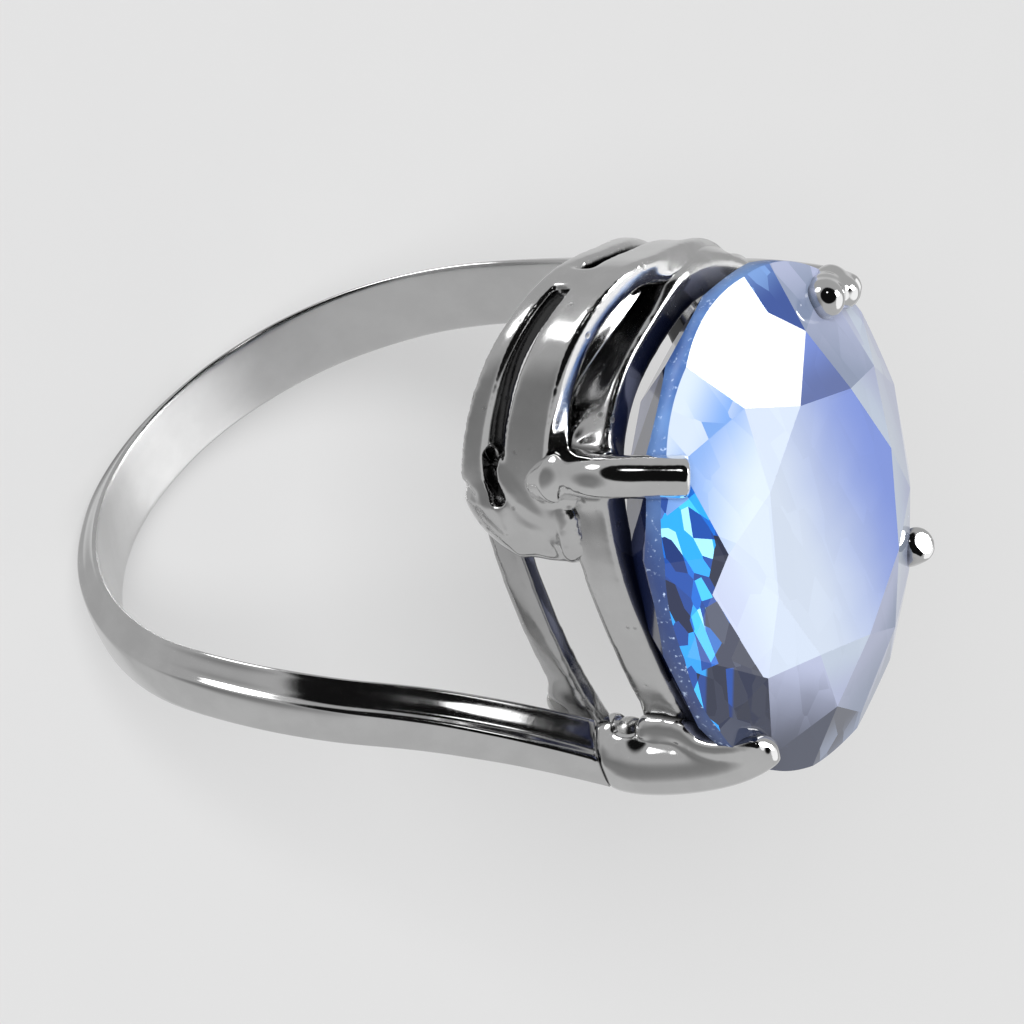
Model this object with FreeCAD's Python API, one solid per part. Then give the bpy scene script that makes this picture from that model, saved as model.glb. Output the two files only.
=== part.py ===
import FreeCAD, Part
import math
import os

# Cocktail ring, upright: +Z runs from the finger up through the stone, the finger lies along Y,
# and the origin is the centre of the finger hole. Millimetres.

# ---- driving dimensions ----
FINGER_R = 8.45            # radius of the finger hole
BAND_WIDTH = 2.2           # band across its inner face, along the finger
CROWN_BACK = 1.35          # outer face of the band, across, at the back
CROWN_SEAM = 1.0           # and where an arm meets the head
THICK_BACK = 0.75          # metal thickness at the back of the band
THICK_SEAM = 1.08          # and where an arm meets the head
BORE_STOCK = 0.2           # metal inside the finger hole before it is bored round
BORE_FADE = 0.15           # radians before an arm leaves the circle over which that metal ends
ARM_LEAVES_AT = 24.0       # degrees above the horizontal where an arm leaves the circle
ARM_END_Z = 8.7            # height of the seam between an arm and its claw
RIGHT_DRIFT = 3.9          # how far the +X arm has moved along the finger at the seam
LEFT_DRIFT = 2.9
DRIFT_START_Z = -1.5       # height where an arm starts to move along the finger
DRIFT_POWER = 1.8

STONE_LENGTH = 14.2        # along the finger
STONE_WIDTH = 12.4
STONE_TURN = -4.0          # degrees the stone is turned about Z
TABLE_LENGTH = 7.5
TABLE_WIDTH = 6.7
GIRDLE_LOW = 12.15
GIRDLE_HIGH = 12.8
TABLE_Z = 14.15
CULET_Z = 8.75
STAR_SPREAD = 0.79         # star points: part of the full outline, and of the crown's height
STAR_RISE = 0.62
KNEE_SPREAD = 0.74         # the pavilion's knee: part of the outline, and of the pavilion's depth
KNEE_RISE = 0.52

WALL_TURN = 8.0            # degrees the ends of the two end walls are turned about Z
WALL_OUTLINE = (           # outside of the -Y wall; the +Y wall is its half-turn copy
    (5.4, -3.2), (5.25, -4.7), (4.9, -6.0), (4.3, -7.1), (3.5, -8.0), (1.6, -8.73),
    (0.3, -8.58), (-1.1, -7.95), (-2.5, -7.18), (-3.6, -6.3), (-4.5, -5.2), (-5.1, -3.9),
)
WALL_THICKNESS = 0.7
WALL_SLOT_DEPTH = 1.2      # the slots cut this far in, past the wall's inner face
WALL_LOW_R = 8.66          # the walls' lower and upper edges are arches about the finger
WALL_HIGH_R = 10.95
WALL_END_LOW = (5.9, 6.8)  # an end wall's slanted end: distance from the middle, and height
WALL_END_MID = (4.7, 8.2)
WALL_END_HIGH = (3.95, 9.6)
SLOT_LOW_R = 9.25
SLOT_HIGH_R = 9.77
SLOT_STOP_Y = 4.85         # the two slots of a wall run round the corners as far as this
BRIDGE_X = -0.28           # middle of the metal between the two slots
BRIDGE_WIDTH = 0.9
SHELF_LOW_R = 9.9          # ledge inside each wall, out to the seat rail
SHELF_HIGH_R = 10.25
SHELF_LAP = 0.3            # the ledge runs this far under the seat rail

RAIL_TURN = 3.0            # degrees the seat rail and the side rails are turned about Z
SEAT_HALF_LENGTH = 7.1
SEAT_HALF_WIDTH = 5.4
SEAT_POWER = 2.7
SEAT_RAIL_WIDTH = 0.95
SEAT_LOW = 9.85
SEAT_HIGH = 11.15

SIDE_RAIL_X = 5.4          # outer face of a lower side rail at its middle
SIDE_RAIL_BOW = 0.5        # how far its ends stand back from that
SIDE_RAIL_WIDTH = 0.65
SIDE_RAIL_LOW = 7.15
SIDE_RAIL_HIGH = 8.05
SIDE_RAIL_HALF = 4.6
FINGER_GAP = 0.15          # the side rails stand back this far from the finger hole

# Each claw row is a point of the middle line and the bar's radius there. The front right and
# rear left claws stand on the free ends of the walls; the other two carry on from the arms.
FRONT_RIGHT_CLAW = (
    (4.62, -5.15, 9.8, 0.56),
    (4.72, -5.3, 11.0, 0.56),
    (4.5, -5.2, 12.5, 0.55),
    (4.0, -4.8, 13.35, 0.52),
)
REAR_LEFT_CLAW = (
    (-4.62, 4.95, 9.8, 0.56),
    (-4.68, 4.95, 11.0, 0.56),
    (-4.4, 4.75, 12.5, 0.55),
    (-3.9, 4.3, 13.35, 0.52),
)
REAR_RIGHT_CLAW = (
    (5.72, 4.1, 10.1, 0.78),
    (5.46, 4.15, 11.4, 0.7),
    (5.2, 4.05, 12.5, 0.58),
    (4.7, 3.8, 13.3, 0.52),
)
FRONT_LEFT_CLAW = (
    (-5.5, -3.5, 10.1, 0.62),
    (-5.32, -3.78, 11.4, 0.5),
    (-5.2, -3.8, 12.5, 0.48),
    (-4.95, -3.75, 13.4, 0.5),
)
BEAD_R = 0.34
BEADS = {"low": (5.05, 2.75, 7.25), "middle": (5.35, 3.2, 9.4), "high": (5.1, 3.75, 10.3)}

Y_AXIS = FreeCAD.Vector(0, 1, 0)
Z_AXIS = FreeCAD.Vector(0, 0, 1)
CENTRE = FreeCAD.Vector(0, 0, 0)
TALL = 40.0                # longer than anything in the ring, for cutting shapes
OVAL_STEPS = 56            # points round a squared oval
SHANK_STEPS = 44


def vec(x, y, z):
    return FreeCAD.Vector(x, y, z)


def turned(shape, degrees):
    """A copy of the shape turned about Z."""
    copy = shape.copy()
    copy.rotate(CENTRE, Z_AXIS, degrees)
    return copy


def finger_cylinder(radius):
    """A long cylinder about the finger."""
    return Part.makeCylinder(radius, TALL, vec(0, -TALL / 2, 0), Y_AXIS)


def box(x0, x1, y0, y1, z0, z1):
    return Part.makeBox(x1 - x0, y1 - y0, z1 - z0, vec(x0, y0, z0))


def oval_points(half_length, half_width, power, z):
    """Points round a squared oval whose long axis is Y."""
    points = []
    for i in range(OVAL_STEPS):
        a = 2 * math.pi * i / OVAL_STEPS
        c = math.cos(a)
        s = math.sin(a)
        x = half_width * math.copysign(abs(c) ** (2 / power), c)
        y = half_length * math.copysign(abs(s) ** (2 / power), s)
        points.append(vec(x, y, z))
    return points


def oval_prism(half_length, half_width, power, z0, z1):
    """A solid of squared oval outline between two heights."""
    curve = Part.BSplineCurve()
    curve.interpolate(Points=oval_points(half_length, half_width, power, z0), PeriodicFlag=True)
    return Part.Face(Part.Wire(curve.toShape())).extrude(vec(0, 0, z1 - z0))


# ---- shank ----
def arm_drift(side, z):
    """Y of the middle of an arm at a height: +X arm to +Y, -X arm to -Y."""
    rise = max(0.0, (z - DRIFT_START_Z) / (ARM_END_Z - DRIFT_START_Z)) ** DRIFT_POWER
    return RIGHT_DRIFT * rise if side > 0 else -LEFT_DRIFT * rise


def arm_station(travel):
    """Point of the +X arm's inner line and its outward direction, after a travel from the back."""
    leave = math.radians(90 + ARM_LEAVES_AT)
    straight = travel - FINGER_R * leave
    angle = min(travel / FINGER_R, leave)
    out_x = math.sin(angle)
    out_z = -math.cos(angle)
    x = FINGER_R * out_x
    z = FINGER_R * out_z
    if straight > 0:
        x -= straight * out_z
        z += straight * out_x
    return x, z, out_x, out_z


def arm_length():
    """Travel from the back of the band to the seam under a claw."""
    leave = math.radians(90 + ARM_LEAVES_AT)
    out_x = math.sin(leave)
    out_z = -math.cos(leave)
    mid_r = FINGER_R + THICK_SEAM / 2
    return FINGER_R * leave + (ARM_END_Z - mid_r * out_z) / out_x


def band_section(travel):
    """Cross-section of the band: a low trapezoid, widest against the finger."""
    side = 1 if travel >= 0 else -1
    x, z, out_x, out_z = arm_station(abs(travel))
    grow = (abs(travel) / arm_length()) ** 2
    thick = THICK_BACK + (THICK_SEAM - THICK_BACK) * grow
    crown = CROWN_BACK + (CROWN_SEAM - CROWN_BACK) * grow
    middle = arm_drift(side, z + out_z * thick / 2)
    to_arm = math.radians(90 + ARM_LEAVES_AT) - abs(travel) / FINGER_R
    inner = -BORE_STOCK * min(1.0, max(0.0, to_arm / BORE_FADE))
    points = []
    for depth, width in ((inner, -BAND_WIDTH), (inner, BAND_WIDTH), (thick, crown), (thick, -crown)):
        points.append(vec(side * (x + out_x * depth), middle + width / 2, z + out_z * depth))
    points.append(points[0])
    return Part.makePolygon(points)


def shank():
    """The band and its two arms, one piece from seam to seam, bored round for the finger."""
    end = arm_length()
    sections = [band_section(-end + 2 * end * i / SHANK_STEPS) for i in range(SHANK_STEPS + 1)]
    return Part.makeLoft(sections, True, False).cut(finger_cylinder(FINGER_R))


# ---- stone ----
def facet(corners):
    return Part.Face(Part.makePolygon(corners + [corners[0]]))


def stone_corner(step, spread, z):
    """A corner of the cut: step counts 16ths of a turn, spread is the part of the full outline."""
    a = 2 * math.pi * step / 16
    return vec(spread * STONE_WIDTH / 2 * math.cos(a), spread * STONE_LENGTH / 2 * math.sin(a), z)


def table_corner(step):
    a = 2 * math.pi * step / 16
    return vec(TABLE_WIDTH / 2 * math.cos(a), TABLE_LENGTH / 2 * math.sin(a), TABLE_Z)


def stone():
    """Oval brilliant: table, stars, kites and halves, a narrow girdle, and a two-step pavilion."""
    star_z = GIRDLE_HIGH + STAR_RISE * (TABLE_Z - GIRDLE_HIGH)
    knee_z = CULET_Z + KNEE_RISE * (GIRDLE_LOW - CULET_Z)
    culet = vec(0, 0, CULET_Z)
    faces = [facet([table_corner(i) for i in range(0, 16, 2)])]
    for i in range(0, 16, 2):
        star_before = stone_corner(i - 1, STAR_SPREAD, star_z)
        star_after = stone_corner(i + 1, STAR_SPREAD, star_z)
        tip = stone_corner(i, 1, GIRDLE_HIGH)
        after = stone_corner(i + 1, 1, GIRDLE_HIGH)
        next_tip = stone_corner(i + 2, 1, GIRDLE_HIGH)
        faces.append(facet([table_corner(i), table_corner(i + 2), star_after]))
        faces.append(facet([table_corner(i), star_after, tip]))
        faces.append(facet([table_corner(i), tip, star_before]))
        faces.append(facet([tip, star_after, after]))
        faces.append(facet([next_tip, after, star_after]))
    for i in range(16):
        corners = (stone_corner(i, 1, GIRDLE_LOW), stone_corner(i + 1, 1, GIRDLE_LOW))
        tops = (stone_corner(i, 1, GIRDLE_HIGH), stone_corner(i + 1, 1, GIRDLE_HIGH))
        faces.append(facet([corners[0], corners[1], tops[1], tops[0]]))
    for i in range(0, 16, 2):
        knee = stone_corner(i + 1, KNEE_SPREAD, knee_z)
        knee_before = stone_corner(i - 1, KNEE_SPREAD, knee_z)
        start = stone_corner(i, 1, GIRDLE_LOW)
        middle = stone_corner(i + 1, 1, GIRDLE_LOW)
        end = stone_corner(i + 2, 1, GIRDLE_LOW)
        faces.append(facet([start, knee, middle]))
        faces.append(facet([middle, knee, end]))
        faces.append(facet([start, knee_before, knee]))
        faces.append(facet([knee_before, culet, knee]))
    solid = Part.makeSolid(Part.makeShell(faces))
    return turned(solid, STONE_TURN)


# ---- head ----
def bar_sections(rows):
    """Round sections of a bar through rows of x, y, z and radius."""
    points = [vec(x, y, z) for x, y, z, radius in rows]
    sections = []
    for i, point in enumerate(points):
        before = points[max(i - 1, 0)]
        after = points[min(i + 1, len(points) - 1)]
        sections.append(four_arcs(point, after - before, rows[i][3]))
    return sections


def four_arcs(centre, direction, radius):
    """A circle square to a direction, as four arcs that start towards +X and -Y."""
    forward = vec(direction.x, direction.y, direction.z).normalize()
    across = forward.cross(vec(-1, 1, 0)).normalize()
    up = across.cross(forward)
    ring = []
    for i in range(9):
        a = math.pi / 4 * i
        ring.append(centre + across * (radius * math.cos(a)) + up * (radius * math.sin(a)))
    arcs = [Part.Arc(ring[i], ring[i + 1], ring[(i + 2) % 8]).toShape() for i in (0, 2, 4, 6)]
    return Part.Wire(arcs)


def plain_claw(rows):
    """Round claw on the free end of a wall."""
    return Part.makeLoft(bar_sections(rows), True, False)


def shoulder_claw(side, rows):
    """Claw that goes on from the end of an arm, thick at the seam and round at the tip."""
    seam = band_section(side * arm_length())
    return Part.makeLoft([seam] + bar_sections(rows), True, False)


def end_wall(side):
    """Pierced wall round one end of the head, with the ledge that ties it to the seat rail."""
    outer = wall_outline(0.0)
    seat = oval_prism(SEAT_HALF_LENGTH - SHELF_LAP, SEAT_HALF_WIDTH - SHELF_LAP, SEAT_POWER, 0, TALL)
    skin = finger_arch(WALL_LOW_R, WALL_HIGH_R).common(outer).cut(wall_outline(WALL_THICKNESS))
    shelf = finger_arch(SHELF_LOW_R, SHELF_HIGH_R).common(outer).cut(turned(seat, RAIL_TURN))
    wall = skin.fuse(shelf).cut(wall_end_space())
    for slot in wall_slots():
        wall = wall.cut(slot)
    return wall if side < 0 else turned(wall, 180)


def wall_outline(inset):
    """Tall solid with the walls' outline, or a smaller one inside it."""
    corners = list(WALL_OUTLINE) + [(-x, -y) for x, y in WALL_OUTLINE]
    points = []
    for i, (x, y) in enumerate(corners):
        before = corners[i - 1]
        after = corners[(i + 1) % len(corners)]
        along = vec(after[0] - before[0], after[1] - before[1], 0).normalize()
        points.append(vec(x + along.y * inset, y - along.x * inset, 0))
    curve = Part.BSplineCurve()
    curve.interpolate(Points=points, PeriodicFlag=True)
    return Part.Face(Part.Wire(curve.toShape())).extrude(vec(0, 0, TALL))


def finger_arch(low, high):
    """The -Y half of a tube about the finger."""
    return finger_cylinder(high).cut(finger_cylinder(low)).common(box(-TALL, TALL, -TALL, 0, 0, TALL))


def wall_end_space():
    """Everything beyond the slanted ends of the -Y wall."""
    outline = [(-WALL_END_LOW[0], 0.0)]
    outline += [(-y, z) for y, z in (WALL_END_LOW, WALL_END_MID, WALL_END_HIGH)]
    outline += [(-WALL_END_HIGH[0], TALL), (TALL, TALL), (TALL, 0.0)]
    corners = [vec(-TALL / 2, y, z) for y, z in outline]
    return turned(facet(corners).extrude(vec(TALL, 0, 0)), WALL_TURN)


def wall_slots():
    """The two arched slots through the -Y wall, one each side of the bridge."""
    arch = finger_arch(SLOT_LOW_R, SLOT_HIGH_R).cut(wall_outline(WALL_SLOT_DEPTH))
    right = box(BRIDGE_X + BRIDGE_WIDTH / 2, TALL, -TALL, -SLOT_STOP_Y, 0, TALL)
    left = box(-TALL, BRIDGE_X - BRIDGE_WIDTH / 2, -TALL, -SLOT_STOP_Y, 0, TALL)
    return arch.common(turned(right, WALL_TURN)), arch.common(turned(left, WALL_TURN))


def seat_rail():
    """Oval upper rail that the stone sits on."""
    outer = oval_prism(SEAT_HALF_LENGTH, SEAT_HALF_WIDTH, SEAT_POWER, SEAT_LOW, SEAT_HIGH)
    inner = oval_prism(SEAT_HALF_LENGTH - SEAT_RAIL_WIDTH, SEAT_HALF_WIDTH - SEAT_RAIL_WIDTH,
                       SEAT_POWER, SEAT_LOW - 1, SEAT_HIGH + 1)
    return turned(outer.cut(inner), RAIL_TURN)


def side_rail(side):
    """Bowed lower rail under one long side of the stone."""
    end_x = SIDE_RAIL_X - SIDE_RAIL_BOW
    low = SIDE_RAIL_LOW
    w = SIDE_RAIL_WIDTH
    half = SIDE_RAIL_HALF
    outer = Part.Arc(vec(end_x, -half, low), vec(SIDE_RAIL_X, 0, low), vec(end_x, half, low))
    inner = Part.Arc(vec(end_x - w, half, low), vec(SIDE_RAIL_X - w, 0, low), vec(end_x - w, -half, low))
    edges = [
        outer.toShape(),
        Part.makeLine(vec(end_x, half, low), vec(end_x - w, half, low)),
        inner.toShape(),
        Part.makeLine(vec(end_x - w, -half, low), vec(end_x, -half, low)),
    ]
    rail = Part.Face(Part.Wire(edges)).extrude(vec(0, 0, SIDE_RAIL_HIGH - low))
    rail = rail.cut(finger_cylinder(FINGER_R + FINGER_GAP))
    return turned(rail, RAIL_TURN if side > 0 else RAIL_TURN + 180)


def solder_bead(centre):
    """Small bead of solder left at the +X shoulder, where rails, arm and claw meet."""
    return Part.makeSphere(BEAD_R, vec(*centre), vec(1, -1, 0))


def largest(shape):
    """The biggest solid of a shape, without the slivers that cutting can leave."""
    return max(shape.Solids, key=lambda solid: solid.Volume)


def build():
    """Every node in order: each piece is cut back to the faces of the ones before it."""
    raw = {
        "centre_stone": stone(),
        "claw_front_right": plain_claw(FRONT_RIGHT_CLAW),
        "claw_rear_right": shoulder_claw(1, REAR_RIGHT_CLAW),
        "claw_rear_left": plain_claw(REAR_LEFT_CLAW),
        "claw_front_left": shoulder_claw(-1, FRONT_LEFT_CLAW),
        "shank": shank(),
        "front_gallery_wall": end_wall(-1),
        "rear_gallery_wall": end_wall(1),
        "seat_rail": seat_rail(),
        "side_rail_right": side_rail(1),
        "side_rail_left": side_rail(-1),
    }
    for place, centre in BEADS.items():
        raw["solder_bead_" + place] = solder_bead(centre)
    finished = {}
    for name, shape in raw.items():
        for other in finished.values():
            if shape.BoundBox.intersect(other.BoundBox):
                shape = shape.cut(other)
        finished[name] = largest(shape)
    return finished


os.makedirs("parts", exist_ok=True)
for node, node_shape in build().items():
    node_shape.exportStep("parts/" + node + ".step")
    extent = node_shape.BoundBox
    print(node, "valid", node_shape.isValid(), "solids", len(node_shape.Solids),
          "volume %.3f" % node_shape.Volume,
          "z %.2f..%.2f" % (extent.ZMin, extent.ZMax))
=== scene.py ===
import bpy
import bmesh
import math
import numpy as np
from mathutils import Matrix, Vector, noise
from mathutils.bvhtree import BVHTree

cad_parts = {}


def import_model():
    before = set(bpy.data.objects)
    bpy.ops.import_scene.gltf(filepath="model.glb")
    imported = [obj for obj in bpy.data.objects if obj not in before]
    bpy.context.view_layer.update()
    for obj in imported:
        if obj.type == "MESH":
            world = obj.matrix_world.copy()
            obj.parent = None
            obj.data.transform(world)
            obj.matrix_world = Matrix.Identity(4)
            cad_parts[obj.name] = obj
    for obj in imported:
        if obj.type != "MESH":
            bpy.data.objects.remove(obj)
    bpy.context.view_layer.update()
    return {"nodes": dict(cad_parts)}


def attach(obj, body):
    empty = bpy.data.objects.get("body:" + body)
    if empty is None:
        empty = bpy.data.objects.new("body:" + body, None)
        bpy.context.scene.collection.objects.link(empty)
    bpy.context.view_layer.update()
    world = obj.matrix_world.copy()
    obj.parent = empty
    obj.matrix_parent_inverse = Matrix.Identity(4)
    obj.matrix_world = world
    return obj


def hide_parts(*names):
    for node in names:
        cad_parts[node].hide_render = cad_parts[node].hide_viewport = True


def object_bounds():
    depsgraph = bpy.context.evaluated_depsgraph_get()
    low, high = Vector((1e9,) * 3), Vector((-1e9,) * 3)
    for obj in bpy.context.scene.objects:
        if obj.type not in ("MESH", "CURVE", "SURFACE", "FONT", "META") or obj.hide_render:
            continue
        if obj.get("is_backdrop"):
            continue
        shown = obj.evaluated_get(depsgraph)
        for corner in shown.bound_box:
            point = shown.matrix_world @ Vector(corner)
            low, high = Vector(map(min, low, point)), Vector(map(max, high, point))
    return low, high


# Cocktail ring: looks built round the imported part. Shapes are worked out in millimetres, in the
# part's own frame, and scaled to metres when a piece is made.
MM = 0.001

# ---- camera ----
CAM_AZIMUTH = 47.15
CAM_ELEVATION = 33.26
CAM_ROLL = 95.0
CAM_DISTANCE = 164.5
CAM_AIM = (-1.02, 1.62, 2.70)
CAM_LENS = 208.1
SENSOR = 36.0

# ---- band ----
FINGER_R = 8.45
BAND_HALF = 1.1
CROWN_BACK = 1.35
CROWN_SEAM = 1.0
THICK_BACK = 0.75
THICK_SEAM = 1.08
ARM_LEAVES_AT = 24.0
ARM_END_Z = 8.7
RIGHT_DRIFT = 3.9
LEFT_DRIFT = 2.9
DRIFT_START_Z = -1.5
DRIFT_POWER = 1.8
BAND_STATIONS = 280
SECTION_STEPS = 3
BAND_WAVE_SIZE = 1.6

# ---- stone ----
STONE_LENGTH = 14.2
STONE_WIDTH = 12.4
STONE_TURN = -4.0
TABLE_LENGTH = 7.5
TABLE_WIDTH = 6.7
GIRDLE_LOW = 12.15
GIRDLE_HIGH = 12.8
TABLE_Z = 14.15
CULET_Z = 8.75
# a height inside the stone
STONE_MIDDLE_Z = 11.5
STAR_SPREAD = 0.745
STAR_RISE = 0.68
KNEE_SPREAD = 0.74
KNEE_RISE = 0.52
# steps by which a kite's tip is off its regular place, and millimetres by which it is lower
TIP_MOVED = {6: -0.35}
TIP_LOWERED = {6: 0.07}

# ---- castings ----
# how finely each kind of piece is skinned, how often it is averaged, how far its fillets reach
CASTINGS = {
    "bead": {"voxel": 0.04, "soften": 4, "reach": 0.5},
    "wall": {"voxel": 0.05, "soften": 18, "reach": 0.8},
    "plain": {"voxel": 0.06, "soften": 20, "reach": 0.8},
}
# these meet without a fillet
APART = {
    "claw_rear_right": "shank",
    "front_gallery_wall": "claw_front_right",
    "rear_gallery_wall": "claw_rear_left",
}
# averaging draws a piece in a little, and this gives it back
SWELL = 0.02
WAVE_HEIGHT = 0.012
WAVE_SIZE = 1.5
# the waves are drawn from this, so they are the same each run
WAVE_SEED = 7
LAST_PASSES = 8
# points round a wire or ball, and rings along a wire
AROUND = 24
WIRE_RINGS = 40

# ---- claws ----
# a second, thinner strand lies along the rear right claw
STRAND = [
    (5.45, 3.05, 9.9), (5.32, 3.20, 10.9), (5.52, 3.38, 11.8), (5.42, 3.42, 12.6), (5.12, 3.46, 13.3),
]
STRAND_R = 0.27
# the front right claw bows outward between the rail and the stone
FRONT_RIGHT_PATH = [
    (4.50, -4.85, 9.2), (4.90, -5.35, 10.4), (5.10, -5.56, 11.45), (4.60, -5.22, 12.4),
    (4.05, -4.85, 13.35),
]
FRONT_RIGHT_R = 0.56
# the rear left one turns up at its tip
REAR_LEFT_PATH = [
    (-4.60, 4.92, 9.3), (-4.70, 4.98, 11.0), (-4.38, 4.82, 12.3), (-4.03, 4.50, 13.0),
    (-3.97, 4.15, 13.6),
]
REAR_LEFT_R = 0.50

# ---- gallery walls ----
# the right end of the front wall is drawn down in a rounded lip: wires melted together
LIP_PATHS = [
    [(4.50, -5.20, 7.20), (4.78, -4.20, 7.38), (4.92, -3.50, 7.85), (4.98, -3.05, 8.55),
     (4.98, -2.95, 9.25), (4.88, -3.35, 9.90)],
    [(4.55, -5.40, 7.60), (4.85, -4.60, 7.95), (4.98, -3.85, 8.60), (4.95, -3.60, 9.35),
     (4.85, -3.75, 10.0)],
    [(4.60, -5.50, 8.10), (4.88, -4.95, 8.45), (4.95, -4.30, 8.95), (4.90, -4.05, 9.50),
     (4.85, -4.20, 10.0)],
    [(4.52, -5.30, 7.40), (4.82, -4.40, 7.65), (4.95, -3.68, 8.20), (4.98, -3.28, 8.90),
     (4.92, -3.45, 9.60)],
]
LIP_R = 0.42
# the slot runs on as a groove in the lip
GROOVE = [(4.86, -5.72, 8.03), (5.12, -5.14, 7.97), (5.34, -4.70, 8.07)]
GROOVE_HALF = 0.25
GROOVE_EDGE = 0.12
GROOVE_DEPTH = 0.42
# the slots lie between these distances from the finger's axis, and past this one from the middle
SLOT_INNER = 9.1
SLOT_OUTER = 9.9
SLOT_FRONT = 5.6
# they are narrower than this, so their walls see each other
SLOT_REACH = 0.75
# a claw's foot melts into the wall's end
FOOT = (4.60, -4.90, 9.62)
FOOT_R = 0.74

# blobs melted onto the front left claw's tip, the rear right one's tip and the arm's seam there
TIP_LOBES = [
    ((-3.72, -4.52, 13.42), 0.56), ((-4.55, -4.10, 13.45), 0.46),
    ((-4.75, -4.25, 13.00), 0.50), ((-4.15, -4.45, 13.20), 0.50),
]
SEAM_BLOBS = [
    ((5.62, 3.16, 8.78), 0.27), ((5.86, 3.26, 8.84), 0.24),
    ((6.06, 3.36, 8.98), 0.25), ((5.36, 3.20, 8.86), 0.30),
]
REAR_RIGHT_TIP = ((5.0, 3.85, 13.12), 0.46)

noise.seed_set(WAVE_SEED)
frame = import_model()
NODES = frame["nodes"]


# ---- mesh helpers ----
def make_object(name, points, faces):
    """A smooth mesh object from points in millimetres."""
    mesh = bpy.data.meshes.new(name)
    mesh.from_pydata([tuple(p * MM for p in point) for point in points], [], faces)
    mesh.update()
    mesh.polygons.foreach_set("use_smooth", [True] * len(mesh.polygons))
    made = bpy.data.objects.new(name, mesh)
    bpy.context.scene.collection.objects.link(made)
    return made


def node_part(node):
    """A CAD node's points in millimetres, and its faces."""
    source = NODES[node]
    points = [tuple((source.matrix_world @ v.co) / MM) for v in source.data.vertices]
    return points, [tuple(p.vertices) for p in source.data.polygons]


def joined(parts):
    """Several meshes' points and faces as one."""
    points = []
    faces = []
    for part_points, part_faces in parts:
        start = len(points)
        points += list(part_points)
        faces += [tuple(i + start for i in face) for face in part_faces]
    return points, faces


def half_turn(path):
    """The same path on the other side of the stone's axis."""
    return [(-x, -y, z) for x, y, z in path]


def neighbours(mesh):
    """The two points of each edge."""
    edges = np.zeros(len(mesh.edges) * 2, int)
    mesh.edges.foreach_get("vertices", edges)
    return edges.reshape(-1, 2)


def evened(points, edges, passes):
    """Plain averaging: rounds edges off."""
    count = np.bincount(edges.ravel(), minlength=len(points)).astype(float)[:, None]
    for i in range(passes):
        total = np.zeros_like(points)
        np.add.at(total, edges[:, 0], points[edges[:, 1]])
        np.add.at(total, edges[:, 1], points[edges[:, 0]])
        points = points + 0.5 * (total / count - points)
    return points


def vertex_normals(mesh):
    flat = np.zeros(len(mesh.vertices) * 3)
    mesh.vertices.foreach_get("normal", flat)
    return flat.reshape(-1, 3)


def point_array(mesh):
    flat = np.zeros(len(mesh.vertices) * 3)
    mesh.vertices.foreach_get("co", flat)
    return flat.reshape(-1, 3)


def set_points(mesh, points):
    mesh.vertices.foreach_set("co", points.ravel())
    mesh.update()


def flowed(points, normals, others, reach):
    """Lets the surface rise to meet its neighbours in a soft fillet, as solder and casting do."""
    tree = BVHTree.FromPolygons(*joined([node_part(other) for other in others]))
    rise = np.zeros(len(points))
    for i, point in enumerate(points):
        gap = tree.find_nearest(Vector(point), reach)[3]
        if gap is not None:
            rise[i] = min((math.sqrt(reach) - math.sqrt(gap)) ** 2, reach / 4)
    return points + normals * rise[:, None]


def skinned(name, parts, voxel):
    """One closed mesh round overlapping parts."""
    points, faces = joined(parts)
    mesh = bpy.data.meshes.new(name + "_rough")
    mesh.from_pydata(points, [], faces)
    mesh.update()
    rough = bpy.data.objects.new(name + "_rough", mesh)
    bpy.context.scene.collection.objects.link(rough)
    remesh = rough.modifiers.new("skin", "REMESH")
    remesh.mode = "VOXEL"
    remesh.voxel_size = voxel
    remesh.adaptivity = 0.0
    depsgraph = bpy.context.evaluated_depsgraph_get()
    skin = bpy.data.meshes.new_from_object(rough.evaluated_get(depsgraph), depsgraph=depsgraph)
    bpy.data.objects.remove(rough)
    skin.name = name
    return skin


def grooved(skin, points):
    """Sinks the groove into each wall's end; gives the points and how deep each was carved."""
    carved = np.zeros(len(points))
    for path in (GROOVE, half_turn(GROOVE)):
        set_points(skin, points)
        deep = np.clip((GROOVE_HALF - from_path(points, path)) / GROOVE_EDGE, 0, 1)
        points = points - vertex_normals(skin) * (deep * GROOVE_DEPTH)[:, None]
        carved = np.maximum(carved, deep)
    return points, carved


def cast(name, parts, others, voxel, soften, reach):
    """One closed casting from overlapping parts, with soft edges and fillets where it meets others."""
    skin = skinned(name, parts, voxel)
    edges = neighbours(skin)
    points = evened(point_array(skin), edges, soften)
    set_points(skin, points)
    points = points + vertex_normals(skin) * SWELL
    points = flowed(points, vertex_normals(skin), others, reach)
    points = evened(points, edges, LAST_PASSES)
    carved = np.zeros(len(points))
    if name.endswith("wall_cast"):
        points, carved = grooved(skin, points)
    points = waved(points, WAVE_HEIGHT, WAVE_SIZE)
    set_points(skin, points * MM)
    skin.polygons.foreach_set("use_smooth", [True] * len(skin.polygons))
    made = bpy.data.objects.new(name, skin)
    bpy.context.scene.collection.objects.link(made)
    mark(made, "carved", carved)
    return made


def waved(points, height, size):
    """Slow hand-polished unevenness."""
    return np.array([Vector(p) + height * noise.noise_vector(Vector(p) / size) for p in points])


def closed_curve(corners, steps):
    """Points of a smooth closed curve through corners."""
    count = len(corners)
    points = []
    for i in range(count):
        a, b, c, d = (np.array(corners[(i + k) % count], float) for k in (-1, 0, 1, 2))
        for step in range(steps):
            t = step / steps
            points.append(0.5 * (2 * b + (c - a) * t + (2 * a - 5 * b + 4 * c - d) * t ** 2
                                 + (3 * b - a - 3 * c + d) * t ** 3))
    return points


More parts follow.
